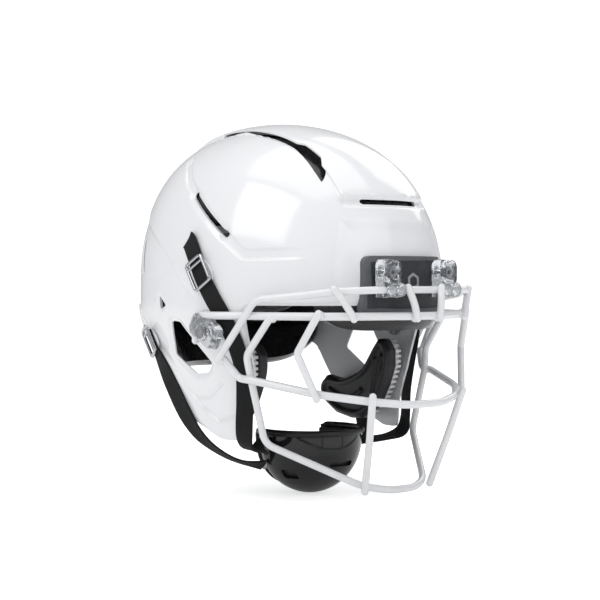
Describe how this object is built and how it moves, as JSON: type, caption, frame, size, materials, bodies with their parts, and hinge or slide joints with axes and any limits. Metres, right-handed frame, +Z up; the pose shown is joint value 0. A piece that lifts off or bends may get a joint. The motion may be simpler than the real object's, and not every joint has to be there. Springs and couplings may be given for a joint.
{
  "type": "american football helmet",
  "caption": "American football helmet: vented hard shell with liner pads, wire faceguard on clips, snap-in jaw pads and a chin cup on buckled straps.",
  "frame": {"origin": "centre of the head cavity, on the middle plane, level with the shell's widest section just above the brow edge", "axes": "+Z up through the crown, -Y forward through the face opening, +X to the wearer's left"},
  "size_m": [0.2604, 0.3238, 0.3288],
  "materials": {
    "shell_white": "gloss",
    "liner_black": "satin",
    "bumper_grey": "satin",
    "clip_clear": "gloss",
    "hardware_steel": "polished",
    "snap_plastic": "satin",
    "webbing_black": "matte",
    "guard_coat": "gloss",
    "jaw_black": "satin",
    "carrier_grey": "matte",
    "cup_black": "gloss",
    "cup_liner": "matte",
    "buckle_chrome": "polished"
  },
  "bodies": {
    "shell": {"shell": "shell_white", "crown_pad": "liner_black", "brow_pad": "liner_black", "rear_pad": "liner_black", "side_pad_right": "liner_black", "side_pad_left": "liner_black", "front_bumper": "bumper_grey", "front_clip_right": "clip_clear", "front_clip_left": "clip_clear", "front_screws": "hardware_steel", "front_nuts": "hardware_steel", "side_nuts": "hardware_steel", "jaw_snaps": "snap_plastic", "snap_studs": "hardware_steel", "front_strap_right": "webbing_black", "front_strap_left": "webbing_black", "rear_strap_right": "webbing_black", "rear_strap_left": "webbing_black"},
    "faceguard": {"top_bar": "guard_coat", "eye_bar": "guard_coat", "mouth_bar": "guard_coat", "lower_loop": "guard_coat", "cheek_bars": "guard_coat", "front_uprights": "guard_coat", "inner_struts": "guard_coat", "outer_struts": "guard_coat", "side_clip_right": "clip_clear", "side_clip_left": "clip_clear", "side_screws": "hardware_steel"},
    "jaw_pad_right": {"jaw_pad_right": "jaw_black", "jaw_carrier_right": "carrier_grey"},
    "jaw_pad_left": {"jaw_pad_left": "jaw_black", "jaw_carrier_left": "carrier_grey"},
    "chin_cup": {"chin_cup": "cup_black", "chin_pad": "cup_liner", "chin_rivets": "hardware_steel"},
    "front_buckle_right": {"front_buckle_right": "buckle_chrome"},
    "front_buckle_left": {"front_buckle_left": "buckle_chrome"},
    "rear_buckle_right": {"rear_buckle_right": "buckle_chrome"},
    "rear_buckle_left": {"rear_buckle_left": "buckle_chrome"}
  },
  "joints": [
    {"name": "faceguard_swing", "type": "hinge", "parent": "shell", "child": "faceguard", "pos_m": [0, -0.1605, 0.01], "axis": [-1, 0, 0], "range_deg": [0, 110]},
    {"name": "chin_cup_tilt", "type": "hinge", "parent": "shell", "child": "chin_cup", "pos_m": [0, -0.016, -0.136], "axis": [1, 0, 0], "range_deg": [-10, 10], "deforming": ["front_strap_right", "front_strap_left", "rear_strap_right", "rear_strap_left"]},
    {"name": "jaw_pad_right_pull", "type": "slide", "parent": "shell", "child": "jaw_pad_right", "axis": [1, 0, 0], "range_m": [0, 0.012]},
    {"name": "jaw_pad_left_pull", "type": "slide", "parent": "shell", "child": "jaw_pad_left", "axis": [-1, 0, 0], "range_m": [0, 0.012]},
    {"name": "front_buckle_right_tilt", "type": "hinge", "parent": "shell", "child": "front_buckle_right", "pos_m": [-0.12326, -0.02584, 0.01389], "axis": [0.1147, -0.8381, 0.5333], "range_deg": [0, 40]},
    {"name": "front_buckle_left_tilt", "type": "hinge", "parent": "shell", "child": "front_buckle_left", "pos_m": [0.12326, -0.02584, 0.01389], "axis": [0.1147, 0.8381, -0.5333], "range_deg": [0, 40]},
    {"name": "rear_buckle_right_tilt", "type": "hinge", "parent": "shell", "child": "rear_buckle_right", "pos_m": [-0.10661, 0.06562, -0.0477], "axis": [-0.4291, -0.8274, 0.3623], "range_deg": [0, 40]},
    {"name": "rear_buckle_left_tilt", "type": "hinge", "parent": "shell", "child": "rear_buckle_left", "pos_m": [0.10661, 0.06562, -0.0477], "axis": [-0.4291, 0.8274, -0.3623], "range_deg": [0, 40]}
  ]
}
